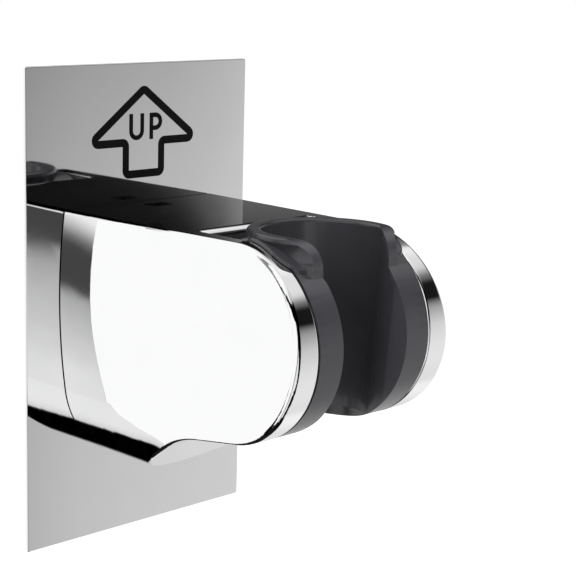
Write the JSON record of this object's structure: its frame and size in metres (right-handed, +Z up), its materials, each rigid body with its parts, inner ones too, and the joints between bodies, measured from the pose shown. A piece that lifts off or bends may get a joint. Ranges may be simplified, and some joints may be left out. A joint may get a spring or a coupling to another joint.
{
  "type": "hand shower holder",
  "caption": "Wall holder for a hand shower: polished adhesive plate, hollow chromed fork arm and a tilting cradle with a conical, slotted socket.",
  "frame": {"origin": "middle of the adhesive sheet's back face, the face that sits on the wall", "axes": "+Z up, +Y into the wall, so the arm reaches out along -Y; +X along the wall and along the cradle's pivot"},
  "size_m": [0.06, 0.0697, 0.101],
  "materials": {
    "foam_tape": "matte closed-cell acrylic foam",
    "polished_steel": "mirror-polished stainless sheet",
    "fastener_steel": "bright zinc",
    "black_nylon": "matte moulded",
    "chrome_plate": "bright chrome on moulded plastic",
    "washer_rubber": "matte",
    "slate_plastic": "fine satin moulded"
  },
  "bodies": {
    "bracket": {"adhesive_sheet": "foam_tape", "wall_plate": "polished_steel", "plate_studs": "fastener_steel", "mounting_block": "black_nylon", "block_washers": "fastener_steel", "block_nuts": "fastener_steel", "arm_shell": "chrome_plate", "left_friction_washer": "washer_rubber", "right_friction_washer": "washer_rubber"},
    "cradle": {"cradle": "slate_plastic"}
  },
  "joints": [
    {"name": "cradle_tilt", "type": "hinge", "parent": "bracket", "child": "cradle", "pos_m": [0, -0.0506, 0.0021], "axis": [1, 0, 0], "range_deg": [-5, 35]}
  ]
}
